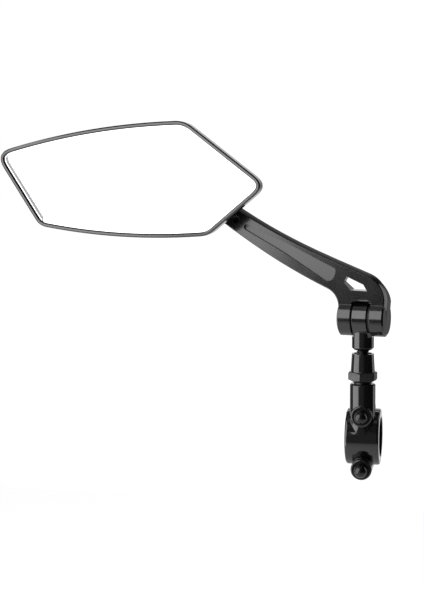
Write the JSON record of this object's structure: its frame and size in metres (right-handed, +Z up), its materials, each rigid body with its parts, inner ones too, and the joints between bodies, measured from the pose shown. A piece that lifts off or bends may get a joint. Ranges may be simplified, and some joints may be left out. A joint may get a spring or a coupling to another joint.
{
  "type": "bicycle handlebar mirror",
  "caption": "Rear-view mirror for a bicycle handlebar: split bar clamp, lockable swivel stem, folding arm and an angular mirror head on a ball joint.",
  "frame": {"origin": "middle of the clamp bore, on the handlebar's axis", "axes": "+X along the handlebar to the right, +Y forward, +Z up along the post"},
  "size_m": [0.2215, 0.0389, 0.1956],
  "materials": {
    "gloss_black_metal": "gloss black coating",
    "satin_black_metal": "satin black coating",
    "dark_steel": "blackened steel",
    "plain_steel": "zinc-plated steel",
    "bronze": "plain bearing bronze",
    "gloss_black_plastic": "polished black",
    "matte_black_plastic": "fine moulded grain",
    "pale_plastic": "plain acetal",
    "foam": "closed-cell foam tape",
    "mirror_glass": "silvered glass"
  },
  "bodies": {
    "clamp": {"clamp_front": "gloss_black_metal", "clamp_rear": "gloss_black_metal", "clamp_screws": "dark_steel", "clamp_nuts": "plain_steel", "screw_caps": "gloss_black_plastic"},
    "stem": {"knuckle": "gloss_black_metal", "threaded_stud": "dark_steel", "pivot_bush": "bronze"},
    "lock_washer": {"lock_washer": "dark_steel"},
    "lock_nut": {"lock_nut": "gloss_black_metal"},
    "arm": {"arm": "satin_black_metal", "pivot_bolt": "dark_steel", "disc_springs": "plain_steel", "pivot_cap": "gloss_black_plastic", "friction_washers": "matte_black_plastic", "ball_stud": "plain_steel", "ball_nut": "plain_steel"},
    "ball_liner": {"ball_liner": "pale_plastic"},
    "ball_cup": {"ball_cup": "matte_black_plastic"},
    "head": {"mirror_housing": "matte_black_plastic", "bezel": "gloss_black_plastic", "mirror_glass": "mirror_glass", "glass_pad": "foam", "socket_base": "matte_black_plastic", "socket_ring": "matte_black_plastic", "socket_screws": "plain_steel"}
  },
  "joints": [
    {"name": "stem_swivel", "type": "hinge", "parent": "clamp", "child": "stem", "pos_m": [0, -0.0082, 0.0312], "axis": [0, 0, 1], "range_deg": [-120, 120]},
    {"name": "lock_washer_lift", "type": "slide", "parent": "stem", "child": "lock_washer", "axis": [0, 0, 1], "range_m": [0, 0.001]},
    {"name": "lock_nut_turn", "type": "hinge", "parent": "lock_washer", "child": "lock_nut", "pos_m": [0, -0.0082, 0.0312], "axis": [0, 0, 1], "range_deg": [0, 360]},
    {"name": "arm_fold", "type": "hinge", "parent": "stem", "child": "arm", "pos_m": [0, -0.0082, 0.0669], "axis": [0.9848, -0.1736, 0], "range_deg": [-75, 75]},
    {"name": "mirror_roll", "type": "hinge", "parent": "arm", "child": "ball_liner", "pos_m": [-0.09623, -0.00748, 0.13594], "axis": [0.1736, 0.9848, 0], "range_deg": [-40, 40]},
    {"name": "mirror_tilt", "type": "hinge", "parent": "ball_liner", "child": "ball_cup", "pos_m": [-0.09623, -0.00748, 0.13594], "axis": [0.9976, -0.0698, 0], "range_deg": [-18, 18]},
    {"name": "mirror_turn", "type": "hinge", "parent": "ball_cup", "child": "head", "pos_m": [-0.09623, -0.00748, 0.13594], "axis": [0, 0, 1], "range_deg": [-22, 8]}
  ],
  "couplings": [
    {"joint": "lock_nut_turn", "follows": "lock_washer_lift", "rad_per_m": 6283.2}
  ]
}
